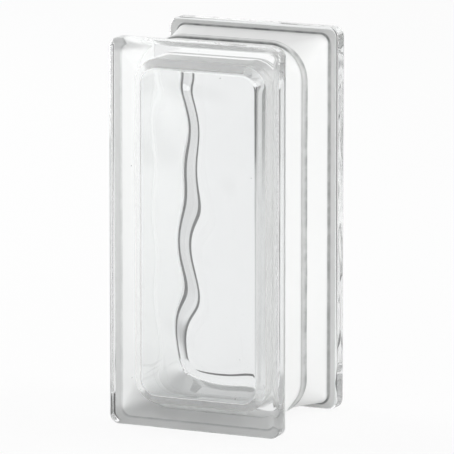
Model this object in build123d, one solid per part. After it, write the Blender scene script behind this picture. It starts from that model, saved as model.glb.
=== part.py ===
from build123d import *
import math
import os

# Hollow glass building block, half size, standing on its short end.
# Two pressed glass trays are fused rim to rim while hot, so the finished block is one piece of glass
# round a sealed air space. Lips round both faces leave a recessed waist that takes the mortar. The
# waist and the shoulders of the lips are painted white, which is a finish and not a piece.
# Frame: origin at the middle of the underside, +Z up, front face towards -Y. Millimetres.

# Overall size
WIDTH = 90.0
DEPTH = 80.0
HEIGHT = 190.0

# Lip round each face
LIP_DEPTH = 9.5
LIP_CORNER_RADIUS = 5.0
LIP_FACE_ROUND = 2.6
LIP_SHOULDER_ROUND = 1.2

# Recessed waist between the lips: its outline changes from the root of the lip to the seam
ROOT_SIDE_RECESS = 4.8
ROOT_END_RECESS = 3.6
ROOT_CORNER_RADIUS = 4.0
ROOT_FILLET = 1.4
SEAM_RECESS = 4.6
SEAM_CORNER_RADIUS = 18.0

# Glass squeezed out along the fused seam, outside and inside
SEAM_WIDTH = 5.0
SEAM_HEIGHT = 1.8
INNER_SEAM_WIDTH = 4.0
INNER_SEAM_HEIGHT = 0.8

# Sealed hollow: its walls lean in from the seam, and a bevel runs from them to each face
FACE_THICKNESS = 9.5
SEAM_WALL = 5.0
HOLLOW_DRAFT = 1.5
BEVEL_WIDTH = 4.5
BEVEL_DEPTH = 5.0
BEVEL_ROUND = 1.0
BEVEL_FOOT_ROUND = 0.8

# Waves pressed into the inside of each face. Each train has its height, its length from crest
# to crest, its direction in degrees from the width, and its phase in degrees. They fade out towards
# a level border along the bevel, and lie a fine step deeper in the glass than the border.
WAVE_TRAINS = (
    (0.45, 42.5, 9.0, 18.0),
    (0.45, 44.0, -79.0, 276.0),
    (0.30, 28.0, -2.5, 154.0),
)
WAVE_BORDER = 2.0
WAVE_FADE = 12.0
WAVE_STEP = 0.05
WAVE_ROOM = 2.0
WAVE_SPARE = 3.0
WAVE_GRID_STEP = 3.0
WAVE_FIT = 0.02

# Half the width of the slice in which the edges at one depth are looked for
SLICE = 0.01


def outline(side_inset, end_inset, corner_radius):
    """Rounded rectangle in the plane of the seam, inside the block's front outline by the two insets."""
    shape = RectangleRounded(WIDTH - 2 * side_inset, HEIGHT - 2 * end_inset, corner_radius)
    return Plane.XZ * Pos(0, HEIGHT / 2) * shape


def seam_outline():
    """Outline of the waist at the seam, which is also the foot of the outer seam bead."""
    return outline(SEAM_RECESS, SEAM_RECESS, SEAM_CORNER_RADIUS)


def hollow_outline():
    """Outline of the hollow at the seam, concentric with the waist so that the wall is even."""
    inset = SEAM_RECESS + SEAM_WALL
    return outline(inset, inset, SEAM_CORNER_RADIUS - SEAM_WALL)


def faces_across_depth(solid):
    """Flat faces that look along the depth, from the front backwards."""
    return solid.faces().filter_by(Axis.Y).sort_by(Axis.Y)


def tray_outside():
    """Outside of the front tray: a lip, and the waist running back from its root to the seam."""
    at_root = Pos(0, LIP_DEPTH - DEPTH / 2, 0)
    lip = at_root * extrude(outline(0, 0, LIP_CORNER_RADIUS), LIP_DEPTH)
    lip = fillet(faces_across_depth(lip)[0].edges(), LIP_FACE_ROUND)
    lip = fillet(faces_across_depth(lip)[-1].edges(), LIP_SHOULDER_ROUND)
    root_outline = at_root * outline(ROOT_SIDE_RECESS, ROOT_END_RECESS, ROOT_CORNER_RADIUS)
    tray = lip + loft([root_outline, seam_outline()], ruled=True)
    shoulder = faces_across_depth(tray)[1]
    return fillet(shoulder.inner_wires()[0].edges(), ROOT_FILLET)


def bevel_foot_depth():
    """Distance from the seam to the foot of the bevel."""
    return DEPTH / 2 - FACE_THICKNESS - BEVEL_DEPTH


def wave_inset():
    """How far the edge of the waves lies inside the block's front outline."""
    foot_inset = SEAM_RECESS + SEAM_WALL + bevel_foot_depth() * math.tan(math.radians(HOLLOW_DRAFT))
    return foot_inset + BEVEL_WIDTH + WAVE_BORDER


def fade_in(distance):
    """Smooth rise from 0 to 1 over the width of the fade."""
    share = max(0.0, min(1.0, distance / WAVE_FADE))
    return share**3 * (10 - 15 * share + 6 * share**2)


def wave_share(x, z):
    """How much of the waves shows at one point: none at their edge, all of it beyond the fade."""
    from_side = WIDTH / 2 - abs(x) - wave_inset()
    from_end = HEIGHT / 2 - abs(z - HEIGHT / 2) - wave_inset()
    return fade_in(from_side) * fade_in(from_end)


def wave_height(x, z):
    """How far the waves thicken the face, or thin it, at one point."""
    total = 0.0
    for height, length, direction, phase in WAVE_TRAINS:
        turn = math.radians(direction)
        along = x * math.cos(turn) + z * math.sin(turn)
        total += height * math.sin(2 * math.pi * along / length + math.radians(phase))
    return total * wave_share(x, z) - WAVE_STEP


def wavy_surface():
    """Inner surface of the front face, larger all round than the area that the waves cover."""
    width = WIDTH - 2 * (wave_inset() - WAVE_SPARE)
    height = HEIGHT - 2 * (wave_inset() - WAVE_SPARE)
    columns = math.ceil(width / WAVE_GRID_STEP)
    rows = math.ceil(height / WAVE_GRID_STEP)
    grid = []
    for row in range(rows + 1):
        z = HEIGHT / 2 + height * (row / rows - 0.5)
        points = []
        for column in range(columns + 1):
            x = width * (column / columns - 0.5)
            y = FACE_THICKNESS - DEPTH / 2 + wave_height(x, z)
            points.append((x, y, z))
        grid.append(points)
    return Face.make_surface_from_array_of_points(grid, tol=WAVE_FIT, min_deg=3, max_deg=5)


def bevelled_plug():
    """Space inside the front tray with a level end: drafted walls, then a bevel, both edges rounded."""
    foot_depth = bevel_foot_depth()
    walls = extrude(hollow_outline(), foot_depth, taper=HOLLOW_DRAFT)
    bevel_foot = faces_across_depth(walls)[0]
    bevel_lean = math.degrees(math.atan2(BEVEL_WIDTH, BEVEL_DEPTH))
    plug = walls + extrude(bevel_foot, BEVEL_DEPTH, taper=bevel_lean)
    plug = fillet(faces_across_depth(plug)[0].edges(), BEVEL_ROUND)
    foot_edges = plug.edges().filter_by_position(Axis.Y, -foot_depth - SLICE, -foot_depth + SLICE)
    return fillet(foot_edges, BEVEL_FOOT_ROUND)


def tray_hollow():
    """Space inside the front tray: the bevelled plug with its level end pressed into waves."""
    corner_radius = SEAM_CORNER_RADIUS + SEAM_RECESS - wave_inset()
    window = outline(wave_inset(), wave_inset(), corner_radius)
    room = Pos(0, FACE_THICKNESS - DEPTH / 2, 0) * extrude(window, WAVE_ROOM, both=True)
    behind_waves = extrude(wavy_surface(), DEPTH / 2, dir=(0, 1, 0))
    return bevelled_plug() - room + (room & behind_waves)


def seam_bead(foot, width, height):
    """Bead of glass along the seam: an oval section swept once round the given outline."""
    path = foot.face().outer_wire()
    across = Plane(path @ 0, x_dir=(0, 1, 0), z_dir=path % 0)
    return sweep(across * Ellipse(width / 2, height), path)


def both_halves(front):
    """The front half and the rear one, which comes from the same mould and is turned round."""
    return front + Rot(Z=180) * front


def glass_block():
    """The fused block: outside, less the hollow, with the beads on both sides of the wall."""
    block = both_halves(tray_outside())
    block += seam_bead(seam_outline(), SEAM_WIDTH, SEAM_HEIGHT)
    block -= both_halves(tray_hollow())
    block += seam_bead(hollow_outline(), INNER_SEAM_WIDTH, INNER_SEAM_HEIGHT)
    return block


block = glass_block()
os.makedirs("parts", exist_ok=True)
export_step(block, "parts/glass_block.step")
print("glass_block: solids", len(block.solids()), "faces", len(block.faces()))
print("volume in cubic centimetres:", round(block.volume / 1000, 1))
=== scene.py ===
# %% [markdown]
# # A hollow glass block
# The object is one piece of clear glass: two pressed trays fused rim to rim, with sealed air inside. The
# recessed edge all round is painted white, so that mortar behind it doesn't show. Nearly all that is seen is
# refraction, so the lesson is about clean surfaces: every fold, round and wave is real geometry, and the
# materials stay simple.

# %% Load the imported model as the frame
import math

import bpy
import numpy as np
from mathutils import Matrix, Vector


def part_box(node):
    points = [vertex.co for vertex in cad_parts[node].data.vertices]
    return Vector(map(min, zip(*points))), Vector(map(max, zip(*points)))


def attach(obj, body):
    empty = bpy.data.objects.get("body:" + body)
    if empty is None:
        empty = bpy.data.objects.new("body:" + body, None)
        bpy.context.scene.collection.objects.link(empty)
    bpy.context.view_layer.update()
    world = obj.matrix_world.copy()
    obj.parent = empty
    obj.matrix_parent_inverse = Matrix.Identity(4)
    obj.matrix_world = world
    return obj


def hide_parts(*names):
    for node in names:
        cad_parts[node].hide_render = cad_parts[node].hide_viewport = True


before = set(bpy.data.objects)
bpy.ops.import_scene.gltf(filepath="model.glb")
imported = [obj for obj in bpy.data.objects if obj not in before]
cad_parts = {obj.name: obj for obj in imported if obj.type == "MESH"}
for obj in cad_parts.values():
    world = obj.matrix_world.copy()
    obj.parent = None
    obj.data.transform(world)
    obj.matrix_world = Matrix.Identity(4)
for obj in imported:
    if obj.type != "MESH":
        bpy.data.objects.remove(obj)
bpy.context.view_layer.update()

low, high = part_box("glass_block")
width, depth, height = high - low
print(f"glass block: {width * 1000:.1f} wide, {depth * 1000:.1f} deep, {height * 1000:.1f} mm high")

# %% [markdown]
# ## Sizes of the pressed glass
# The outside is a stack of rounded rectangles: a lip round each face, a shoulder, and a recessed waist. The
# waist has small corners at the root of the lip and large ones at the seam. The hollow is a drafted box with
# a flat bevel towards each face. These are the sizes of the solid in the frame, so the clear surface built
# here lies on it. Only the round between bevel and face is larger here, because the light shows it softer,
# and the waves of a later step run as the picture shows them.

# %% Glass sizes in metres
MM = 0.001
LIP_DEPTH = 9.5 * MM
LIP_CORNER_RADIUS = 5.0 * MM
LIP_FACE_ROUND = 2.6 * MM
LIP_SHOULDER_ROUND = 1.2 * MM
ROOT_SIDE_RECESS = 4.8 * MM
ROOT_END_RECESS = 3.6 * MM
ROOT_CORNER_RADIUS = 4.0 * MM
ROOT_FILLET = 1.4 * MM
SEAM_RECESS = 4.6 * MM
SEAM_CORNER_RADIUS = 18.0 * MM
SEAM_WIDTH = 5.0 * MM
SEAM_HEIGHT = 1.8 * MM
INNER_SEAM_WIDTH = 4.0 * MM
INNER_SEAM_HEIGHT = 0.8 * MM
FACE_THICKNESS = 9.5 * MM
SEAM_WALL = 5.0 * MM
HOLLOW_DRAFT = math.radians(1.5)
BEVEL_WIDTH = 4.5 * MM
BEVEL_DEPTH = 5.0 * MM
BEVEL_ROUND = 2.0 * MM
BEVEL_FOOT_ROUND = 0.8 * MM
WAVE_BORDER = 2.0 * MM
WAVE_FADE = 12.0 * MM

# %% [markdown]
# ## A section drawn once
# A block like this could be carved out of a cube with bevels, but bevels leave long thin faces that bend
# the light. Instead one section is drawn, from the middle of the front face out over the lip and along
# the waist, and a rounded rectangle runs through each of its points. A row of the section holds how far
# the rectangle's sides and its ends lie inside the block's outline, its place in depth, and its corner
# radius.

# %% Section helpers
def rounded(before, corner, after, radius, steps):
    """Arc that rounds one corner of a section, from tangent point to tangent point."""
    corner = np.array(corner)
    to_before = np.array(before) - corner
    to_after = np.array(after) - corner
    to_before /= np.linalg.norm(to_before)
    to_after /= np.linalg.norm(to_after)
    half_angle = math.acos(np.clip(to_before @ to_after, -1, 1)) / 2
    middle = to_before + to_after
    centre = corner + middle / np.linalg.norm(middle) * radius / math.sin(half_angle)
    first = corner + to_before * radius / math.tan(half_angle) - centre
    last = corner + to_after * radius / math.tan(half_angle) - centre
    turn = math.acos(np.clip(first @ last / radius**2, -1, 1))
    points = []
    for step in range(steps + 1):
        share = step / steps
        weight_first = math.sin((1 - share) * turn) / math.sin(turn)
        weight_last = math.sin(share * turn) / math.sin(turn)
        points.append(tuple(centre + first * weight_first + last * weight_last))
    return points


def between(start, end, steps):
    """Points strictly between two section points."""
    start, end = np.array(start), np.array(end)
    return [tuple(start + (end - start) * step / steps) for step in range(1, steps)]


# %% Outside section, front half
FACE_Y = -depth / 2
SHOULDER_Y = FACE_Y + LIP_DEPTH
FOOT_Y = -SEAM_WIDTH / 2
EDGE_GUARD = 0.35 * MM
ROUND_STEPS = 10
SMALL_ROUND_STEPS = 8
LIP_SIDE_STEPS = 4
SHOULDER_STEPS = 5
WAIST_STEPS = 14
BEAD_STEPS = 8


def mixed(first, last, share):
    """Value part of the way from the first to the last."""
    return first + (last - first) * share


def waist_row(y, lift):
    """Row of the waist at one depth, lifted out of it by the given height."""
    share = 1 - y / SHOULDER_Y
    side_inset = mixed(ROOT_SIDE_RECESS, SEAM_RECESS, share) - lift
    end_inset = mixed(ROOT_END_RECESS, SEAM_RECESS, share) - lift
    return side_inset, end_inset, y, mixed(ROOT_CORNER_RADIUS, SEAM_CORNER_RADIUS, share) + lift


def lip_rows(face_edge, shoulder_edge):
    """Rows over the front edge of the lip, along its side and round to its shoulder."""
    guard = (face_edge[0][0] + EDGE_GUARD, FACE_Y)
    side_start = (0, face_edge[-1][1] + EDGE_GUARD)
    side_end = (0, shoulder_edge[0][1] - EDGE_GUARD)
    side_points = [side_start] + between(side_start, side_end, LIP_SIDE_STEPS) + [side_end]
    points = [guard] + face_edge + side_points + shoulder_edge
    return [(inset, inset, y, LIP_CORNER_RADIUS - inset) for inset, y in points]


def shoulder_rows(start, end, steps):
    """Rows strictly between the lip's edge and the root, where the corners change their radius."""
    start, end = np.array(start), np.array(end)
    return [tuple(mixed(start, end, step / steps)) for step in range(1, steps)]


def outside_section():
    """Front half of the outside, from the face to the crest of the seam bead."""
    face_edge = rounded((LIP_DEPTH, FACE_Y), (0, FACE_Y), (0, 0), LIP_FACE_ROUND, ROUND_STEPS)
    shoulder_edge = rounded((0, FACE_Y), (0, SHOULDER_Y), (LIP_DEPTH, SHOULDER_Y),
                            LIP_SHOULDER_ROUND, SMALL_ROUND_STEPS)
    root = rounded((0, SHOULDER_Y), (ROOT_SIDE_RECESS, SHOULDER_Y), (ROOT_SIDE_RECESS, 0),
                   ROOT_FILLET, SMALL_ROUND_STEPS)
    lip = lip_rows(face_edge, shoulder_edge)
    root_rows = [waist_row(y, ROOT_SIDE_RECESS - inset) for inset, y in root]
    waist_start = root[-1][1] + EDGE_GUARD
    waist_end = FOOT_Y - EDGE_GUARD
    waist_rows = []
    for step in range(WAIST_STEPS + 1):
        waist_rows.append(waist_row(mixed(waist_start, waist_end, step / WAIST_STEPS), 0))
    bead_rows = []
    for step in range(BEAD_STEPS + 1):
        angle = math.pi / 2 * step / BEAD_STEPS
        bead_rows.append(waist_row(FOOT_Y * math.cos(angle), SEAM_HEIGHT * math.sin(angle)))
    shoulder = shoulder_rows(lip[-1], root_rows[0], SHOULDER_STEPS)
    return lip + shoulder + root_rows + waist_rows + bead_rows


# %% Hollow section, front half
BEVEL_STEPS = 5
WALL_STEPS = 12
INNER_BEAD_STEPS = 6


def hollow_section():
    """Front half of the hollow, from the flat of the face to the crest of the inner seam bead."""
    face_y = FACE_Y + FACE_THICKNESS
    seam_inset = SEAM_RECESS + SEAM_WALL
    seam_radius = SEAM_CORNER_RADIUS - SEAM_WALL
    lean = math.tan(HOLLOW_DRAFT)
    bevel_y = face_y + BEVEL_DEPTH
    bevel_foot = (seam_inset - bevel_y * lean, bevel_y)
    face_corner = (bevel_foot[0] + BEVEL_WIDTH, face_y)
    edge = rounded((width / 2, face_y), face_corner, bevel_foot, BEVEL_ROUND, ROUND_STEPS)
    foot = rounded(face_corner, bevel_foot, (seam_inset, 0), BEVEL_FOOT_ROUND, SMALL_ROUND_STEPS)
    foot_y = -INNER_SEAM_WIDTH / 2
    wall_end = (seam_inset - foot_y * lean, foot_y)
    guard = (edge[0][0] + EDGE_GUARD, face_y)
    bevel = edge + between(edge[-1], foot[0], BEVEL_STEPS) + foot
    points = [guard] + bevel + between(foot[-1], wall_end, WALL_STEPS) + [wall_end]
    for step in range(1, INNER_BEAD_STEPS + 1):
        angle = math.pi / 2 * step / INNER_BEAD_STEPS
        y = foot_y * math.cos(angle)
        bead_inset = seam_inset + INNER_SEAM_HEIGHT * math.sin(angle)
        points.append((max(bead_inset, seam_inset - y * lean), y))
    return [(inset, inset, y, seam_radius + seam_inset - inset) for inset, y in points]


def with_rear_half(rows):
    """The whole section: the front half, then the same run backwards behind the seam."""
    return rows + [(side, end, -y, radius) for side, end, y, radius in rows[-2::-1]]


outside_rows = with_rear_half(outside_section())
hollow_rows = with_rear_half(hollow_section())
print(f"section: {len(outside_rows)} rows outside, {len(hollow_rows)} rows round the hollow")

# %% [markdown]
# ## Rectangles through the section
# Each row of the section becomes a closed loop of points, always with the same count, so neighbouring
# loops join in clean four-sided faces. The loops start at the middle of a corner, which lets a plain
# grid close the two faces.

# %% Loops
CORNER_STEPS = 9
WIDTH_STEPS = 34
HEIGHT_STEPS = 84


def on_circle(centre, radius, angle):
    """Point on the circle round one corner's centre."""
    return centre[0] + radius * math.cos(angle), centre[1] + radius * math.sin(angle)


def side(start_centre, end_centre, radius, start_angle, steps):
    """One side of a rounded rectangle, from the middle of one corner to just before the next one's."""
    points = []
    for step in range(CORNER_STEPS):
        angle = start_angle + math.pi / 4 * step / CORNER_STEPS
        points.append(on_circle(start_centre, radius, angle))
    normal = start_angle + math.pi / 4
    out = radius * np.array((math.cos(normal), math.sin(normal)))
    for step in range(steps):
        points.append(tuple(mixed(np.array(start_centre), np.array(end_centre), step / steps) + out))
    for step in range(CORNER_STEPS):
        angle = normal + math.pi / 4 * step / CORNER_STEPS
        points.append(on_circle(end_centre, radius, angle))
    return points


def loop(side_inset, end_inset, y, radius):
    """Closed loop of points in one plane of depth, anticlockwise as seen from the front."""
    x = width / 2 - side_inset - radius
    z_low = end_inset + radius
    z_high = height - end_inset - radius
    corners = [(-x, z_low), (x, z_low), (x, z_high), (-x, z_high)]
    flat = []
    for number, steps in enumerate((WIDTH_STEPS, HEIGHT_STEPS, WIDTH_STEPS, HEIGHT_STEPS)):
        start_angle = math.radians(225 + 90 * number)
        flat += side(corners[number], corners[(number + 1) % 4], radius, start_angle, steps)
    return [(x, y, z) for x, z in flat]


# %% Grids that close the two faces
def closing_grid(ring):
    """Points of a grid stretched over the flat area inside one loop, with its rows of loop numbers."""
    across = WIDTH_STEPS + 2 * CORNER_STEPS
    upward = HEIGHT_STEPS + 2 * CORNER_STEPS
    ring = np.array(ring)
    count = len(ring)
    bottom = list(range(across + 1))
    right = [across + number for number in range(upward + 1)]
    top = [2 * across + upward - number for number in range(across + 1)]
    left = [(count - number) % count for number in range(upward + 1)]
    inner = np.zeros((upward + 1, across + 1, 3))
    for row in range(upward + 1):
        v = row / upward
        for column in range(across + 1):
            u = column / across
            from_ends = mixed(ring[bottom[column]], ring[top[column]], v)
            from_sides = mixed(ring[left[row]], ring[right[row]], u)
            low_side = mixed(ring[bottom[0]], ring[bottom[-1]], u)
            high_side = mixed(ring[top[0]], ring[top[-1]], u)
            inner[row, column] = from_ends + from_sides - mixed(low_side, high_side, v)
    return inner, bottom, right, top, left


# %% Skins
def skin(rows):
    """Points, faces and band numbers of one closed surface: the bands between the loops, and two grids."""
    loops = [loop(*row) for row in rows]
    count = len(loops[0])
    points = [point for ring in loops for point in ring]
    faces = []
    bands = []
    for number in range(len(loops) - 1):
        bands += [number] * count
        here = number * count
        there = here + count
        for step in range(count):
            after = (step + 1) % count
            faces.append((here + step, there + step, there + after, here + after))
    for number in (0, len(loops) - 1):
        inner, bottom, right, top, left = closing_grid(loops[number])
        names = np.zeros(inner.shape[:2], int)
        names[0, :] = bottom
        names[:, -1] = right
        names[-1, :] = top
        names[:, 0] = left
        names += number * count
        for row in range(1, names.shape[0] - 1):
            for column in range(1, names.shape[1] - 1):
                names[row, column] = len(points)
                points.append(tuple(inner[row, column]))
        for row in range(names.shape[0] - 1):
            for column in range(names.shape[1] - 1):
                cell = (names[row, column], names[row, column + 1],
                        names[row + 1, column + 1], names[row + 1, column])
                faces.append(cell if number == 0 else cell[::-1])
                bands.append(number)
    return points, faces, bands


outside_points, outside_faces, outside_bands = skin(outside_rows)
hollow_points, hollow_faces, hollow_bands = skin(hollow_rows)
print(f"skins: {len(outside_faces)} faces outside, {len(hollow_faces)} round the hollow")

# %% [markdown]
# ## One mesh with a hollow
# Glass needs both of its surfaces in one mesh: light bends where it enters and again where it leaves. The
# hollow's faces are turned over, so that they look away from the glass and into the air.

# %% Join the two skins
shift = len(outside_points)
hollow_faces = [tuple(shift + number for number in reversed(face)) for face in hollow_faces]
block_mesh = bpy.data.meshes.new("glass_block_clear")
block_mesh.from_pydata(outside_points + hollow_points, [], outside_faces + hollow_faces)
block_mesh.update()
block_mesh.polygons.foreach_set("use_smooth", [True] * len(block_mesh.polygons))
block = bpy.data.objects.new("glass_block_clear", block_mesh)
bpy.context.scene.collection.objects.link(block)
print(f"mesh: {sum(len(p.vertices) - 2 for p in block_mesh.polygons)} triangles")

# %% [markdown]
# ## Marks on the mesh
# The steps below need to know where on the glass they are: which faces are painted, where the waves fade
# out, how near a point is to the root of the lip or to the seam. These numbers could be masks painted by
# hand, but the section already knows them, so they are stored on the points and faces by name.

# %% Painted faces and the faces of the hollow
ROUNDING = 1e-9


def mark(name, domain, values):
    """Store one number on every point or face."""
    attribute = block_mesh.attributes.new(name, "FLOAT", domain)
    attribute.data.foreach_set("value", np.array(values, np.float32))


first_coated = min(number for number, row in enumerate(outside_rows) if row[2] >= SHOULDER_Y - ROUNDING)
last_coated = len(outside_rows) - 2 - first_coated
coated = [float(first_coated <= band <= last_coated) for band in outside_bands]
mark("coated", "FACE", coated + [0.0] * len(hollow_faces))
mark("hollow", "FACE", [0.0] * len(outside_faces) + [1.0] * len(hollow_faces))
print(f"painted faces: {int(sum(coated))}")


# %% Where the waves fade out
def fade_in(distance):
    """Smooth rise from 0 to 1 over the width of the waves' fade."""
    share = np.clip(distance / WAVE_FADE, 0, 1)
    return share**3 * (10 - 15 * share + 6 * share**2)


hollow_x, hollow_y, hollow_z = np.array(hollow_points).T
foot_inset = SEAM_RECESS + SEAM_WALL + (depth / 2 - FACE_THICKNESS - BEVEL_DEPTH) * math.tan(HOLLOW_DRAFT)
wave_inset = foot_inset + BEVEL_WIDTH + WAVE_BORDER
from_side = width / 2 - np.abs(hollow_x) - wave_inset
from_end = height / 2 - np.abs(hollow_z - height / 2) - wave_inset
on_face = np.abs(hollow_y) > depth / 2 - FACE_THICKNESS - EDGE_GUARD
wave_share = fade_in(from_side) * fade_in(from_end) * on_face
mark("wave_share", "POINT", np.concatenate([np.zeros(shift), wave_share]))
print(f"points that the waves move: {np.count_nonzero(wave_share)}")

# %% Lines along the root, the foot and the crest
ROOT_LINE_REACH = 1.5 * MM
FOOT_LINE_REACH = 0.8 * MM
CREST_LINE_REACH = 1.0 * MM


def nearness(distance, reach):
    """1 at no distance, falling to 0 at the reach."""
    return np.clip(1 - np.abs(distance) / reach, 0, 1)


loop_length = len(loop(*outside_rows[0]))
row_of_point = np.minimum(np.arange(shift) // loop_length, len(outside_rows) - 1)
row_side = np.array([row[0] for row in outside_rows])[row_of_point]
row_y = np.abs(np.array([row[2] for row in outside_rows]))[row_of_point]
on_loops = np.arange(shift) < loop_length * len(outside_rows)
root_distance = np.hypot(row_side - ROOT_SIDE_RECESS + ROOT_FILLET / 4, row_y + SHOULDER_Y + ROOT_FILLET / 4)
bead = np.clip(1 - (row_y / FOOT_Y) ** 2, 0, 1)
foot = nearness(row_y + FOOT_Y, FOOT_LINE_REACH)
crest = nearness(row_y, CREST_LINE_REACH)
for name, values in (("root_line", nearness(root_distance, ROOT_LINE_REACH)), ("bead_share", bead),
                     ("foot_line", foot), ("crest_line", crest)):
    mark(name, "POINT", np.concatenate([values * on_loops, np.zeros(len(hollow_points))]))
print("marks:", [attribute.name for attribute in block_mesh.attributes if not attribute.is_internal])

# %% [markdown]
# ## Clear glass
# Pressed soda-lime glass is clear with a faint cool tint. A volume could hold the tint, but the painted
# faces share the mesh with the glass and would upset it, so the tint sits in the shader's colour.

# %% Glass material
GLASS_TINT = (0.978, 0.985, 0.987, 1.0)
GLASS_IOR = 1.51


def clear_glass():
    """Clear pressed glass with a faint cool tint."""
    material = bpy.data.materials.new("clear_glass")
    material.use_nodes = True
    tree = material.node_tree
    shader = tree.nodes["Principled BSDF"]
    shader.inputs["Base Color"].default_value = GLASS_TINT
    shader.inputs["Roughness"].default_value = 0.0
    shader.inputs["IOR"].default_value = GLASS_IOR
    shader.inputs["Transmission Weight"].default_value = 1.0
    return material


glass = clear_glass()
block_mesh.materials.append(glass)
print("material:", glass.name)

# %% [markdown]
# ## White edge paint
# The waist and the shoulders carry a thin white paint that lets some light through, so the edge glows when
# it is seen through the glass. A matt shader mixed with a translucent one behaves like that. The coat isn't
# even: it lets the most light through on the left side and the least on the short ends. Shade is painted
# into its colour as grey lines in tight corners, along the root of the lip and the foot of the seam bead;
# the bead is painted greyer on the sides, with a dark line along its crest, and on the ends the root and
# foot lines are fine and dark. They could be painted by hand, but the marks say where they run, and noise
# keeps them uneven.

# %% Shader helpers
def add_math(tree, operation, first, second=None):
    """Math node with one or two values or sockets, giving its result socket."""
    node = tree.nodes.new("ShaderNodeMath")
    node.operation = operation
    for number, value in enumerate((first, second)):
        if isinstance(value, (int, float)):
            node.inputs[number].default_value = value
        elif value is not None:
            tree.links.new(value, node.inputs[number])
    return node.outputs[0]


def smooth_step(tree, value, low_end, high_end, low_level=0.0, high_level=1.0):
    """Soft step from one level to another while a value goes from the low end to the high end."""
    node = tree.nodes.new("ShaderNodeMapRange")
    node.interpolation_type = "SMOOTHSTEP"
    tree.links.new(value, node.inputs["Value"])
    node.inputs["From Min"].default_value = low_end
    node.inputs["From Max"].default_value = high_end
    node.inputs["To Min"].default_value = low_level
    node.inputs["To Max"].default_value = high_level
    return node.outputs["Result"]


def mixed_value(tree, first, last, share):
    """Value part of the way from the first to the last."""
    node = tree.nodes.new("ShaderNodeMix")
    node.data_type = "FLOAT"
    for socket, value in (("A", first), ("B", last), ("Factor", share)):
        if isinstance(value, (int, float)):
            node.inputs[socket].default_value = value
        else:
            tree.links.new(value, node.inputs[socket])
    return node.outputs["Result"]


def mark_value(tree, name):
    """Shader socket that reads one of the marks."""
    node = tree.nodes.new("ShaderNodeAttribute")
    node.attribute_name = name
    return node.outputs["Fac"]


def object_noise(tree, scale, detail):
    """Noise in the block's own coordinates, from about 0.3 to 0.7."""
    coordinates = tree.nodes.new("ShaderNodeTexCoord")
    noise = tree.nodes.new("ShaderNodeTexNoise")
    noise.inputs["Scale"].default_value = scale
    noise.inputs["Detail"].default_value = detail
    tree.links.new(coordinates.outputs["Object"], noise.inputs["Vector"])
    return noise.outputs["Fac"]


def object_parts(tree):
    """The three parts of a place in the block's own coordinates."""
    split = tree.nodes.new("ShaderNodeSeparateXYZ")
    tree.links.new(tree.nodes.new("ShaderNodeTexCoord").outputs["Object"], split.inputs[0])
    return split.outputs


# %% Light through the coat
LIGHT_THROUGH_LEFT = 0.48
LIGHT_THROUGH_RIGHT = 0.29
LIGHT_THROUGH_END = 0.18
END_REACH = (9.0 * MM, 5.0 * MM)


def on_short_end(tree):
    """1 on the top and bottom of the block, 0 on its sides."""
    from_middle = add_math(tree, "SUBTRACT", object_parts(tree)["Z"], height / 2)
    return smooth_step(tree, add_math(tree, "ABSOLUTE", from_middle),
                       height / 2 - END_REACH[0], height / 2 - END_REACH[1])


def light_through(tree, on_end):
    """Share of the light that passes the coat."""
    sides = smooth_step(tree, object_parts(tree)["X"], -width / 4, width / 4,
                        LIGHT_THROUGH_LEFT, LIGHT_THROUGH_RIGHT)
    return mixed_value(tree, sides, LIGHT_THROUGH_END, on_end)


# %% Painted shade lines in the coat
# Grey lines of painted shade: in the creases along the root and the foot, over the bead, and a dark line on
# its crest.
ROOT_SPREAD_SIDE = (0.0, 0.8)
ROOT_SPREAD_END = (0.35, 0.9)
ROOT_DARK_SIDE = 0.55
ROOT_DARK_END = 0.95
ROOT_DARK_INSIDE = 0.4
FOOT_DARK_SIDE = 0.2
FOOT_DARK_END = 1.0
BEAD_DARK_SIDE = 0.75
BEAD_DARK_END = 0.15
CREST_DARK = 0.6
UNEVEN_SCALE = 160.0
UNEVEN_DETAIL = 3.0
NOISE_RANGE = (0.3, 0.7)
UNEVEN_RANGE = (0.7, 1.1)


def painted_shade_lines(tree, on_end):
    """Share of shade painted into the coat, from 0 to 1: root, foot, bead and crest.
    From inside the glass only the root shows, and weakly.
    """
    root_mark = mark_value(tree, "root_line")
    root_side = smooth_step(tree, root_mark, *ROOT_SPREAD_SIDE, 0.0, ROOT_DARK_SIDE)
    root_end = smooth_step(tree, root_mark, *ROOT_SPREAD_END, 0.0, ROOT_DARK_END)
    root = mixed_value(tree, root_side, root_end, on_end)
    foot_dark = mixed_value(tree, FOOT_DARK_SIDE, FOOT_DARK_END, on_end)
    foot = add_math(tree, "MULTIPLY", mark_value(tree, "foot_line"), foot_dark)
    bead_dark = mixed_value(tree, BEAD_DARK_SIDE, BEAD_DARK_END, on_end)
    bead = add_math(tree, "MULTIPLY", mark_value(tree, "bead_share"), bead_dark)
    crest = add_math(tree, "MULTIPLY", mark_value(tree, "crest_line"), CREST_DARK)
    seam = add_math(tree, "MAXIMUM", add_math(tree, "MAXIMUM", foot, crest), bead)
    inside = tree.nodes.new("ShaderNodeNewGeometry").outputs["Backfacing"]
    root_seen = add_math(tree, "MULTIPLY", root, mixed_value(tree, 1.0, ROOT_DARK_INSIDE, inside))
    seam_seen = add_math(tree, "MULTIPLY", seam, add_math(tree, "SUBTRACT", 1.0, inside))
    noise = object_noise(tree, UNEVEN_SCALE, UNEVEN_DETAIL)
    uneven = smooth_step(tree, noise, *NOISE_RANGE, *UNEVEN_RANGE)
    lines = add_math(tree, "MULTIPLY", add_math(tree, "MAXIMUM", root_seen, seam_seen), uneven)
    return add_math(tree, "MINIMUM", lines, 1.0)


# %% Paint material
PAINT_WHITE = (0.92, 0.925, 0.92, 1.0)
# The grey below is the colour of the shade painted into the coat in its creases and on the seam bead.
PAINT_SHADE_GREY = (0.17, 0.18, 0.18, 1.0)
PAINT_ROUGHNESS = 0.45


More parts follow.
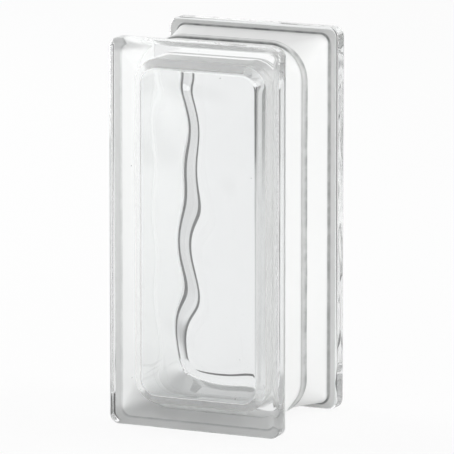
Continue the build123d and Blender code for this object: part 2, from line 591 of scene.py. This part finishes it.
def edge_paint():
    """White paint that lets some light through, with shade painted in its tight corners and on the bead."""
    material = bpy.data.materials.new("edge_paint")
    material.use_nodes = True
    tree = material.node_tree
    colour = tree.nodes.new("ShaderNodeMix")
    colour.data_type = "RGBA"
    colour.inputs["A"].default_value = PAINT_WHITE
    colour.inputs["B"].default_value = PAINT_SHADE_GREY
    on_end = on_short_end(tree)
    # The mix factor paints shade into the coat's colour along the root, the foot and the seam bead.
    tree.links.new(painted_shade_lines(tree, on_end), colour.inputs["Factor"])
    matt = tree.nodes["Principled BSDF"]
    matt.inputs["Roughness"].default_value = PAINT_ROUGHNESS
    through = tree.nodes.new("ShaderNodeBsdfTranslucent")
    mix = tree.nodes.new("ShaderNodeMixShader")
    tree.links.new(light_through(tree, on_end), mix.inputs["Fac"])
    for shader, socket, number in ((matt, "Base Color", 1), (through, "Color", 2)):
        tree.links.new(colour.outputs["Result"], shader.inputs[socket])
        tree.links.new(shader.outputs[0], mix.inputs[number])
    tree.links.new(mix.outputs[0], tree.nodes["Material Output"].inputs["Surface"])
    return material


paint = edge_paint()
print("material:", paint.name)

# %% [markdown]
# ## Pressed waves, an uneven seam and a few seeds
# The inside of each face carries soft irregular waves, which make the view through the block run. The seam
# bead was squeezed out while the glass was soft, so its crest wanders, and a few tiny air bubbles, which
# glass makers call seeds, hang in the walls. All this could be bump or texture, but only moved points and
# real bubbles bend the light. One node tree does it with named sizes: a few plain wave trains added together
# look irregular. Their run was chosen so that the rear rim, seen through both faces, bends as it does in the
# picture. The rear tray, from the same mould turned round, reads the same waves from the other side.

# %% Node tree helpers
def new_tree(name, sockets):
    """Geometry node tree with a geometry input and output and the named inputs."""
    tree = bpy.data.node_groups.new(name, "GeometryNodeTree")
    tree.interface.new_socket("Geometry", in_out="INPUT", socket_type="NodeSocketGeometry")
    tree.interface.new_socket("Geometry", in_out="OUTPUT", socket_type="NodeSocketGeometry")
    for label, kind in sockets:
        tree.interface.new_socket(label, in_out="INPUT", socket_type=kind)
    return tree


def named_value(tree, name):
    """Field that reads one of the marks."""
    node = tree.nodes.new("GeometryNodeInputNamedAttribute")
    node.data_type = "FLOAT"
    node.inputs["Name"].default_value = name
    return node.outputs["Attribute"]


def position_parts(tree):
    """The three parts of a point's place."""
    place = tree.nodes.new("GeometryNodeInputPosition")
    split = tree.nodes.new("ShaderNodeSeparateXYZ")
    tree.links.new(place.outputs[0], split.inputs[0])
    return split.outputs


def moved(tree, geometry, **parts):
    """Geometry moved along the named axes by the given fields."""
    offset = tree.nodes.new("ShaderNodeCombineXYZ")
    for axis, value in parts.items():
        tree.links.new(value, offset.inputs[axis])
    move = tree.nodes.new("GeometryNodeSetPosition")
    tree.links.new(geometry, move.inputs["Geometry"])
    tree.links.new(offset.outputs[0], move.inputs["Offset"])
    return move.outputs["Geometry"]


# %% Waves pressed into the inner faces
WAVE_TRAINS = {
    "long train": (0.42 * MM, 62.0 * MM, 18.0, 320.5),
    "level train": (0.42 * MM, 38.5 * MM, 63.5, 7.5),
    "short train": (0.15 * MM, 31.5 * MM, 30.5, 169.5),
    "fine train": (0.06 * MM, 28.5 * MM, -23.5, 212.0),
}
TRAIN_SIZES = ("height", "length", "direction", "phase")


def press_waves(tree, inputs, geometry):
    """Move the inner faces along the depth by the sum of the wave trains."""
    x, y, z = position_parts(tree)
    inwards = add_math(tree, "MULTIPLY", add_math(tree, "SIGN", y), -1.0)
    turned_x = add_math(tree, "MULTIPLY", x, inwards)
    total = 0.0
    for label in WAVE_TRAINS:
        turn = add_math(tree, "RADIANS", inputs[f"{label} direction"])
        along_x = add_math(tree, "MULTIPLY", turned_x, add_math(tree, "COSINE", turn))
        along_z = add_math(tree, "MULTIPLY", z, add_math(tree, "SINE", turn))
        waves = add_math(tree, "DIVIDE", add_math(tree, "ADD", along_x, along_z), inputs[f"{label} length"])
        angle = add_math(tree, "ADD", add_math(tree, "MULTIPLY", waves, 2 * math.pi),
                         add_math(tree, "RADIANS", inputs[f"{label} phase"]))
        rise = add_math(tree, "MULTIPLY", add_math(tree, "SINE", angle), inputs[f"{label} height"])
        total = add_math(tree, "ADD", rise, total)
    shown = add_math(tree, "MULTIPLY", total, named_value(tree, "wave_share"))
    return moved(tree, geometry, Y=add_math(tree, "MULTIPLY", shown, inwards))


# %% Wandering seam
WANDER_DETAIL = 1.0
NOISE_MIDDLE = 0.5


def wander_seam(tree, inputs, geometry):
    """Let the crest of the outer bead wander a little from front to back."""
    noise = tree.nodes.new("ShaderNodeTexNoise")
    noise.inputs["Detail"].default_value = WANDER_DETAIL
    scale = add_math(tree, "DIVIDE", 1.0, inputs["wander length"])
    tree.links.new(scale, noise.inputs["Scale"])
    sway = add_math(tree, "SUBTRACT", noise.outputs["Fac"], NOISE_MIDDLE)
    reach = add_math(tree, "MULTIPLY", named_value(tree, "bead_share"), inputs["wander"])
    return moved(tree, geometry, Y=add_math(tree, "MULTIPLY", sway, reach))


# %% Seeds in the glass
SEED_SIZES = (0.5, 1.5)
SEED_LEAST_DEPTH = 0.5
SEED_DETAIL = 3


def set_material(tree, geometry, material, selection=None):
    """Give a material to the whole geometry or to the selected faces."""
    node = tree.nodes.new("GeometryNodeSetMaterial")
    tree.links.new(geometry, node.inputs["Geometry"])
    tree.links.new(material, node.inputs["Material"])
    if selection is not None:
        tree.links.new(selection, node.inputs["Selection"])
    return node.outputs["Geometry"]


def scatter_seeds(tree, inputs, geometry):
    """Tiny bubbles under the inner surfaces, turned inside out because air is inside them."""
    points = tree.nodes.new("GeometryNodeDistributePointsOnFaces")
    tree.links.new(geometry, points.inputs["Mesh"])
    tree.links.new(named_value(tree, "hollow"), points.inputs["Selection"])
    tree.links.new(inputs["seeds per square metre"], points.inputs["Density"])
    tree.links.new(inputs["seed number"], points.inputs["Seed"])
    deep = tree.nodes.new("FunctionNodeRandomValue")
    tree.links.new(inputs["seed depth"], deep.inputs["Max"])
    least = add_math(tree, "MULTIPLY", inputs["seed depth"], SEED_LEAST_DEPTH)
    tree.links.new(least, deep.inputs["Min"])
    sink = tree.nodes.new("ShaderNodeVectorMath")
    sink.operation = "SCALE"
    tree.links.new(points.outputs["Normal"], sink.inputs[0])
    tree.links.new(add_math(tree, "MULTIPLY", deep.outputs["Value"], -1.0), sink.inputs["Scale"])
    move = tree.nodes.new("GeometryNodeSetPosition")
    tree.links.new(points.outputs["Points"], move.inputs["Geometry"])
    tree.links.new(sink.outputs[0], move.inputs["Offset"])
    ball = tree.nodes.new("GeometryNodeMeshIcoSphere")
    ball.inputs["Subdivisions"].default_value = SEED_DETAIL
    tree.links.new(inputs["seed radius"], ball.inputs["Radius"])
    smooth = tree.nodes.new("GeometryNodeSetShadeSmooth")
    tree.links.new(ball.outputs["Mesh"], smooth.inputs["Geometry"])
    flip = tree.nodes.new("GeometryNodeFlipFaces")
    tree.links.new(smooth.outputs[0], flip.inputs[0])
    size = tree.nodes.new("FunctionNodeRandomValue")
    size.inputs["Min"].default_value = SEED_SIZES[0]
    size.inputs["Max"].default_value = SEED_SIZES[1]
    copies = tree.nodes.new("GeometryNodeInstanceOnPoints")
    tree.links.new(move.outputs[0], copies.inputs["Points"])
    tree.links.new(set_material(tree, flip.outputs[0], inputs["glass"]), copies.inputs["Instance"])
    tree.links.new(size.outputs["Value"], copies.inputs["Scale"])
    return copies.outputs["Instances"]


# %% The whole tree
TREE_VALUES = {
    "wander": 1.6 * MM,
    "wander length": 28.0 * MM,
    "seeds per square metre": 600.0,
    "seed number": 4,
    "seed depth": 3.2 * MM,
    "seed radius": 0.22 * MM,
    "glass": glass,
    "paint": paint,
}
for label, sizes in WAVE_TRAINS.items():
    for name, value in zip(TRAIN_SIZES, sizes):
        TREE_VALUES[f"{label} {name}"] = value


def socket_kind(value):
    """Kind of tree input that holds a value."""
    kinds = {float: "NodeSocketFloat", int: "NodeSocketInt", bpy.types.Material: "NodeSocketMaterial"}
    return kinds[type(value)]


def pressed_glass_tree():
    """Waves, seam and seeds, then real geometry with its two materials."""
    tree = new_tree("pressed glass", [(label, socket_kind(value)) for label, value in TREE_VALUES.items()])
    inputs = tree.nodes.new("NodeGroupInput").outputs
    outputs = tree.nodes.new("NodeGroupOutput")
    waved = press_waves(tree, inputs, inputs["Geometry"])
    shaped = wander_seam(tree, inputs, waved)
    joined = tree.nodes.new("GeometryNodeJoinGeometry")
    tree.links.new(scatter_seeds(tree, inputs, shaped), joined.inputs[0])
    tree.links.new(shaped, joined.inputs[0])
    real = tree.nodes.new("GeometryNodeRealizeInstances")
    tree.links.new(joined.outputs[0], real.inputs[0])
    clear = set_material(tree, real.outputs[0], inputs["glass"])
    painted = set_material(tree, clear, inputs["paint"], named_value(tree, "coated"))
    tree.links.new(painted, outputs.inputs["Geometry"])
    return tree


# %% Press the glass
def run_tree(obj, tree, values):
    """Run one node tree on an object and keep the result as its plain mesh."""
    modifier = obj.modifiers.new(tree.name, "NODES")
    modifier.node_group = tree
    for item in tree.interface.items_tree:
        if item.in_out == "INPUT" and item.name in values:
            modifier[item.identifier] = values[item.name]
    bpy.context.view_layer.update()
    seen = obj.evaluated_get(bpy.context.evaluated_depsgraph_get())
    result = bpy.data.meshes.new_from_object(seen)
    obj.modifiers.remove(modifier)
    for number in reversed(range(len(result.materials))):
        if result.materials[number] is None:
            result.materials.pop(index=number)
    obj.data = result
    return result


pressed = run_tree(block, pressed_glass_tree(), TREE_VALUES)
triangles = sum(len(polygon.vertices) - 2 for polygon in pressed.polygons)
face_counts = np.bincount([polygon.material_index for polygon in pressed.polygons])
print(f"pressed glass: {triangles} triangles")
print("faces of each material:", dict(zip([material.name for material in pressed.materials], face_counts)))

# %% Stand the block in for the solid
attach(block, "root")
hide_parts("glass_block")

# %% [markdown]
# ## Pale floor
# Clear glass shows whatever lies behind it, so the surroundings matter as much as the material. The floor is
# a white table. The camera sees it plain white, but the glass sees painted shadows and dark cards on it: a
# shadow painted as a strip behind the rear face, the block's shadow painted further to the left, a dark
# wedge to each side behind the block, and dark far sides. Those draw the lines along the rims. Real cards
# would show beside the block, so the floor's material holds them and the painted shadows, in the floor's own
# coordinates, for rays that the glass bends or mirrors. The floor is partly its own light, so that it reads
# as white, and partly matt, so that it keeps the block's shadow.

# %% Places in the studio
STUDIO_TURN = math.radians(24.5)
STUDIO_SIDEWAYS = Vector((math.cos(STUDIO_TURN), math.sin(STUDIO_TURN), 0))
STUDIO_BACKWARDS = Vector((-math.sin(STUDIO_TURN), math.cos(STUDIO_TURN), 0))


def along_part(tree, vector, direction):
    """How far a place or a direction reaches along one of the studio's directions."""
    node = tree.nodes.new("ShaderNodeVectorMath")
    node.operation = "DOT_PRODUCT"
    tree.links.new(vector, node.inputs[0])
    node.inputs[1].default_value = direction
    return node.outputs["Value"]


def band(tree, value, rise, fall):
    """1 between a rise and a fall, each given by its two ends, and 0 outside them."""
    risen = smooth_step(tree, value, *rise)
    return add_math(tree, "MULTIPLY", risen, smooth_step(tree, value, *fall, 1.0, 0.0))


# %% Shadow painted as a dark strip behind the rear face
REAR_SHADOW_STRIP = ((12.0 * MM, 15.0 * MM), (40.0 * MM, 55.0 * MM))
REAR_SHADOW_STRIP_SIDES = ((-45.0 * MM, -40.0 * MM), (4.0 * MM, 10.0 * MM))
REAR_SHADOW_STRIP_LEVEL = 0.05


def rear_shadow_strip(tree):
    """Level of the shadow painted as a dark strip on the floor behind the rear face,
    which outlines the low rim of the hollow.
    """
    parts = object_parts(tree)
    beyond = add_math(tree, "SUBTRACT", parts["Y"], depth / 2)
    behind = band(tree, beyond, *REAR_SHADOW_STRIP)
    between_sides = band(tree, parts["X"], *REAR_SHADOW_STRIP_SIDES)
    return mixed_value(tree, 1.0, REAR_SHADOW_STRIP_LEVEL, add_math(tree, "MULTIPLY", behind, between_sides))


# %% Dark wedges to both sides
REAR_EDGE_NEAR = 15.0 * MM
REAR_EDGE_FAR = 40.0 * MM
LEFT_FLAG = ((0.13, 0.17), (0.45, 0.55))
LEFT_FLAG_LEVEL = 0.1
LEFT_FLAG_START = (0.09, 0.13)
# The left shade is the block's shadow painted on the floor, darkest near the block and lighter further out.
LEFT_SHADE_LEAN = (1.2, 2.0)
LEFT_SHADE_REACH = (0.05, 0.45)
LEFT_SHADE_LEVELS = (0.05, 0.6)
RIGHT_FLAG = ((0.13, 0.18), (0.45, 0.55))
RIGHT_FLAG_REACH = (0.52, 0.72)
RIGHT_FLAG_LEVELS = (0.75, 0.05)


def lean_from(tree, aside, back, start_aside, start_back):
    """Sideways distance over backward distance, as seen from one upright rear edge of the block."""
    run = add_math(tree, "MAXIMUM", add_math(tree, "SUBTRACT", back, start_back), MM)
    return add_math(tree, "DIVIDE", add_math(tree, "SUBTRACT", aside, start_aside), run)


def left_wedge_and_shadow(tree, across, back):
    """Level of the dark wedge on the left behind the block,
    and of the block's shadow painted on the floor further to the left.
    """
    to_left = add_math(tree, "MULTIPLY", across, -1.0)
    lean = lean_from(tree, to_left, back, REAR_EDGE_NEAR, REAR_EDGE_FAR)
    far_enough = smooth_step(tree, back, *LEFT_FLAG_START)
    wedge = add_math(tree, "MULTIPLY", band(tree, lean, *LEFT_FLAG), far_enough)
    flag = mixed_value(tree, 1.0, LEFT_FLAG_LEVEL, wedge)
    aside = add_math(tree, "ABSOLUTE", across)
    shade_level = smooth_step(tree, aside, *LEFT_SHADE_REACH, *LEFT_SHADE_LEVELS)
    shade = mixed_value(tree, 1.0, shade_level, smooth_step(tree, lean, *LEFT_SHADE_LEAN))
    return add_math(tree, "MULTIPLY", flag, shade)


def right_flag(tree, across, back):
    """Level of the dark wedge on the right, which is dark only far behind the block."""
    lean = lean_from(tree, across, back, REAR_EDGE_FAR, REAR_EDGE_NEAR)
    level = smooth_step(tree, back, *RIGHT_FLAG_REACH, *RIGHT_FLAG_LEVELS)
    return mixed_value(tree, 1.0, level, band(tree, lean, *RIGHT_FLAG))


# %% Floor as the glass sees it
FLOOR_HALF_WIDTH = 0.70
FLOOR_CLEAR_HALF_WIDTH = 0.42
FLOOR_SIDE_LEVEL = 0.0
FLOOR_BRIGHT_HALF_WIDTH = 0.08
FLOOR_PALE_HALF_WIDTH = 0.16
FLOOR_PALE_LEVEL = 0.8
FLOOR_DARK_START = (-0.02, 0.0)
FLOOR_LEVEL_IN_GLASS = 0.88


def floor_in_glass(tree):
    """Level of the floor as rays through the glass see it."""
    place = tree.nodes.new("ShaderNodeTexCoord").outputs["Object"]
    across = along_part(tree, place, STUDIO_SIDEWAYS)
    back = along_part(tree, place, STUDIO_BACKWARDS)
    aside = add_math(tree, "ABSOLUTE", across)
    pale = smooth_step(tree, aside, FLOOR_BRIGHT_HALF_WIDTH, FLOOR_PALE_HALF_WIDTH, 1.0, FLOOR_PALE_LEVEL)
    fall = smooth_step(tree, across, FLOOR_CLEAR_HALF_WIDTH, FLOOR_HALF_WIDTH, 1.0, FLOOR_SIDE_LEVEL)
    # The left factor holds a painted shadow of the block as well as the dark wedges.
    flags = add_math(tree, "MULTIPLY", left_wedge_and_shadow(tree, across, back), right_flag(tree, across, back))
    dark = add_math(tree, "MULTIPLY", add_math(tree, "MULTIPLY", pale, fall), flags)
    sides = mixed_value(tree, 1.0, dark, smooth_step(tree, back, *FLOOR_DARK_START))
    # The strip behind the rear face is a painted shadow.
    level = add_math(tree, "MULTIPLY", sides, rear_shadow_strip(tree))
    return add_math(tree, "MULTIPLY", level, FLOOR_LEVEL_IN_GLASS)


# %% Floor
FLOOR_HALF_LENGTH = 1.6
FLOOR_WHITE_SHARE = 0.9
FLOOR_COLOUR = (0.82, 0.82, 0.82, 1.0)


def shows_background(tree):
    """1 for rays from the camera and for mirrored or refracted views, 0 for the rest."""
    path = tree.nodes.new("ShaderNodeLightPath").outputs
    mirrored = add_math(tree, "MAXIMUM", path["Is Glossy Ray"], path["Is Transmission Ray"])
    return add_math(tree, "MAXIMUM", path["Is Camera Ray"], mirrored)


def pale_floor():
    """Pale floor that reads as white and keeps a soft shadow."""
    material = bpy.data.materials.new("pale_floor")
    material.use_nodes = True
    tree = material.node_tree
    tree.nodes.remove(tree.nodes["Principled BSDF"])
    matt = tree.nodes.new("ShaderNodeBsdfDiffuse")
    matt.inputs["Color"].default_value = FLOOR_COLOUR
    white = tree.nodes.new("ShaderNodeEmission")
    from_camera = tree.nodes.new("ShaderNodeLightPath").outputs["Is Camera Ray"]
    level = add_math(tree, "MAXIMUM", floor_in_glass(tree), from_camera)
    tree.links.new(level, white.inputs["Strength"])
    mix = tree.nodes.new("ShaderNodeMixShader")
    tree.links.new(add_math(tree, "MULTIPLY", shows_background(tree), FLOOR_WHITE_SHARE), mix.inputs["Fac"])
    tree.links.new(matt.outputs[0], mix.inputs[1])
    tree.links.new(white.outputs[0], mix.inputs[2])
    tree.links.new(mix.outputs[0], tree.nodes["Material Output"].inputs["Surface"])
    return material


floor_mesh = bpy.data.meshes.new("floor")
floor_corners = [STUDIO_SIDEWAYS * FLOOR_HALF_WIDTH * across + STUDIO_BACKWARDS * FLOOR_HALF_LENGTH * along
                 for across, along in ((-1, -1), (1, -1), (1, 1), (-1, 1))]
floor_mesh.from_pydata(floor_corners, [], [(0, 1, 2, 3)])
floor_mesh.materials.append(pale_floor())
floor = bpy.data.objects.new("floor", floor_mesh)
bpy.context.scene.collection.objects.link(floor)
print(f"floor: {2 * FLOOR_HALF_WIDTH:.1f} by {2 * FLOOR_HALF_LENGTH:.1f} m")

# %% [markdown]
# ## Studio surround
# A photographer lights glass with a white surround and a few dark cards: white gives the body of the glass,
# and the cards draw the lines along its edges. Real panels could stand round the block, but the world does
# both in one place. The camera sees plain white. Rays through the glass see white with a dim front and dark
# cards low at both sides of the back. The painted edge gets a soft light that is stronger from behind.

# %% Front of the studio
FRONT_CARD = 0.65
FRONT_CARD_TURN = (-0.75, -0.35)
FRONT_CARD_RISE = (-0.05, 0.05)
LEFT_CARD = 0.5
LEFT_CARD_TURN = (-0.2, 0.3)


def front_cards(tree, direction):
    """How dark the front of the studio is: dim in mirrored views, and on the left for all rays."""
    split = tree.nodes.new("ShaderNodeSeparateXYZ")
    tree.links.new(direction, split.inputs[0])
    x, y, z = split.outputs
    in_front = add_math(tree, "MULTIPLY", smooth_step(tree, y, *FRONT_CARD_TURN, 1.0, 0.0),
                        smooth_step(tree, z, *FRONT_CARD_RISE))
    mirrored = tree.nodes.new("ShaderNodeLightPath").outputs["Is Glossy Ray"]
    mirrored_card = add_math(tree, "MULTIPLY", mirrored, FRONT_CARD)
    left_card = smooth_step(tree, x, *LEFT_CARD_TURN, LEFT_CARD, 0.0)
    return add_math(tree, "MULTIPLY", in_front, add_math(tree, "MAXIMUM", mirrored_card, left_card))


# %% Low sides of the back
SIDE_CARD = 1.0
SIDE_CARD_TURN = (0.5, 0.75)
SIDE_CARD_RISE = (-0.05, 0.15)
SIDE_CARD_BACK = (-0.1, 0.1)


def rear_cards(tree, direction):
    """How dark the low sides of the back of the studio are."""
    split = tree.nodes.new("ShaderNodeSeparateXYZ")
    tree.links.new(direction, split.inputs[0])
    aside = add_math(tree, "ABSOLUTE", along_part(tree, direction, STUDIO_SIDEWAYS))
    back = along_part(tree, direction, STUDIO_BACKWARDS)
    side_card = add_math(tree, "MULTIPLY", smooth_step(tree, aside, *SIDE_CARD_TURN, 0.0, SIDE_CARD),
                         smooth_step(tree, split.outputs["Z"], *SIDE_CARD_RISE, 1.0, 0.0))
    return add_math(tree, "MULTIPLY", side_card, smooth_step(tree, back, *SIDE_CARD_BACK))


# %% World
AMBIENT_FRONT = 0.42
AMBIENT_BACK = 0.6
AMBIENT_TURN = (-0.5, 0.5)


def studio_world():
    """White surround for what is seen in the glass, dim room for what lights the paint."""
    world = bpy.data.worlds.new("studio")
    world.use_nodes = True
    tree = world.node_tree
    direction = tree.nodes.new("ShaderNodeTexCoord").outputs["Generated"]
    cards = add_math(tree, "MAXIMUM", front_cards(tree, direction), rear_cards(tree, direction))
    from_camera = tree.nodes.new("ShaderNodeLightPath").outputs["Is Camera Ray"]
    hidden = add_math(tree, "MULTIPLY", cards, add_math(tree, "SUBTRACT", 1.0, from_camera))
    split = tree.nodes.new("ShaderNodeSeparateXYZ")
    tree.links.new(direction, split.inputs[0])
    ambient = smooth_step(tree, split.outputs["Y"], *AMBIENT_TURN, AMBIENT_FRONT, AMBIENT_BACK)
    level = mixed_value(tree, ambient, add_math(tree, "SUBTRACT", 1.0, hidden), shows_background(tree))
    tree.nodes["Background"].inputs["Color"].default_value = (1, 1, 1, 1)
    tree.links.new(level, tree.nodes["Background"].inputs["Strength"])
    return world


bpy.context.scene.world = studio_world()
print("world:", bpy.context.scene.world.name)

# %% [markdown]
# ## Soft boxes
# Two large soft boxes a little behind the block light its painted edges from both sides, and a weak one from
# above lights the top. They could show in the glass as bright squares, which a real studio avoids, so they
# are hidden from rays that pass through it. Their power is low enough that the white paint keeps its
# shading.

# %% Lamps
SOFT_BOX_SIZE = 1.0
SOFT_BOXES = {
    "left soft box": ((-1.5, 0.3, 0.35), 26.0),
    "right soft box": ((1.5, 0.4, 0.4), 19.5),
    "top soft box": ((0.0, 0.3, 1.7), 3.0),
}


def soft_box(name, place, power):
    """Square lamp that looks at the middle of the block."""
    lamp = bpy.data.lights.new(name, "AREA")
    lamp.shape = "SQUARE"
    lamp.size = SOFT_BOX_SIZE
    lamp.energy = power
    box = bpy.data.objects.new(name, lamp)
    box.location = place
    look = Vector((0, 0, height / 2)) - Vector(place)
    box.rotation_euler = look.to_track_quat("-Z", "Y").to_euler()
    box.visible_transmission = False
    bpy.context.scene.collection.objects.link(box)
    print(f"{name}: {power:.1f} W")


for name, (place, power) in SOFT_BOXES.items():
    soft_box(name, place, power)

# %% [markdown]
# ## Camera
# The photograph was taken from about three metres with a long lens, from a little to the right and above.
# The two lips are straight edges of known size, so their corners in the picture gave the camera's angles,
# distance and focal length.

# %% Camera
CAMERA_AZIMUTH = math.radians(24.51)
CAMERA_ELEVATION = math.radians(11.0)
CAMERA_DISTANCE = 3.05
CAMERA_SIDE = -0.05 * MM
CAMERA_RISE = -1.24 * MM
FOCAL_PIXELS = 6283.0
FRAME_PIXELS = 454
SENSOR_WIDTH = 36.0
backward = Vector((math.sin(CAMERA_AZIMUTH) * math.cos(CAMERA_ELEVATION),
                   -math.cos(CAMERA_AZIMUTH) * math.cos(CAMERA_ELEVATION),
                   math.sin(CAMERA_ELEVATION)))
sideways = Vector((math.cos(CAMERA_AZIMUTH), math.sin(CAMERA_AZIMUTH), 0))
upward = backward.cross(sideways)
camera_data = bpy.data.cameras.new("camera")
camera_data.sensor_width = SENSOR_WIDTH
camera_data.lens = SENSOR_WIDTH * FOCAL_PIXELS / FRAME_PIXELS
camera = bpy.data.objects.new("camera", camera_data)
bpy.context.scene.collection.objects.link(camera)
place = Vector((0, 0, height / 2)) + backward * CAMERA_DISTANCE
place += sideways * CAMERA_SIDE + upward * CAMERA_RISE
turn = Matrix((sideways, upward, backward)).transposed().to_4x4()
camera.matrix_world = Matrix.Translation(place) @ turn
bpy.context.scene.camera = camera
print(f"camera: lens {camera_data.lens:.0f} mm at {CAMERA_DISTANCE:.2f} m")

# %% [markdown]
# ## Render settings
# Light bounces many times inside a glass block, so the paths are allowed more bounces than usual.

# %% Settings
GLASS_BOUNCES = 32
MIRROR_BOUNCES = 16
scene = bpy.context.scene
scene.view_settings.view_transform = "Standard"
scene.cycles.max_bounces = GLASS_BOUNCES
scene.cycles.transmission_bounces = GLASS_BOUNCES
scene.cycles.glossy_bounces = MIRROR_BOUNCES
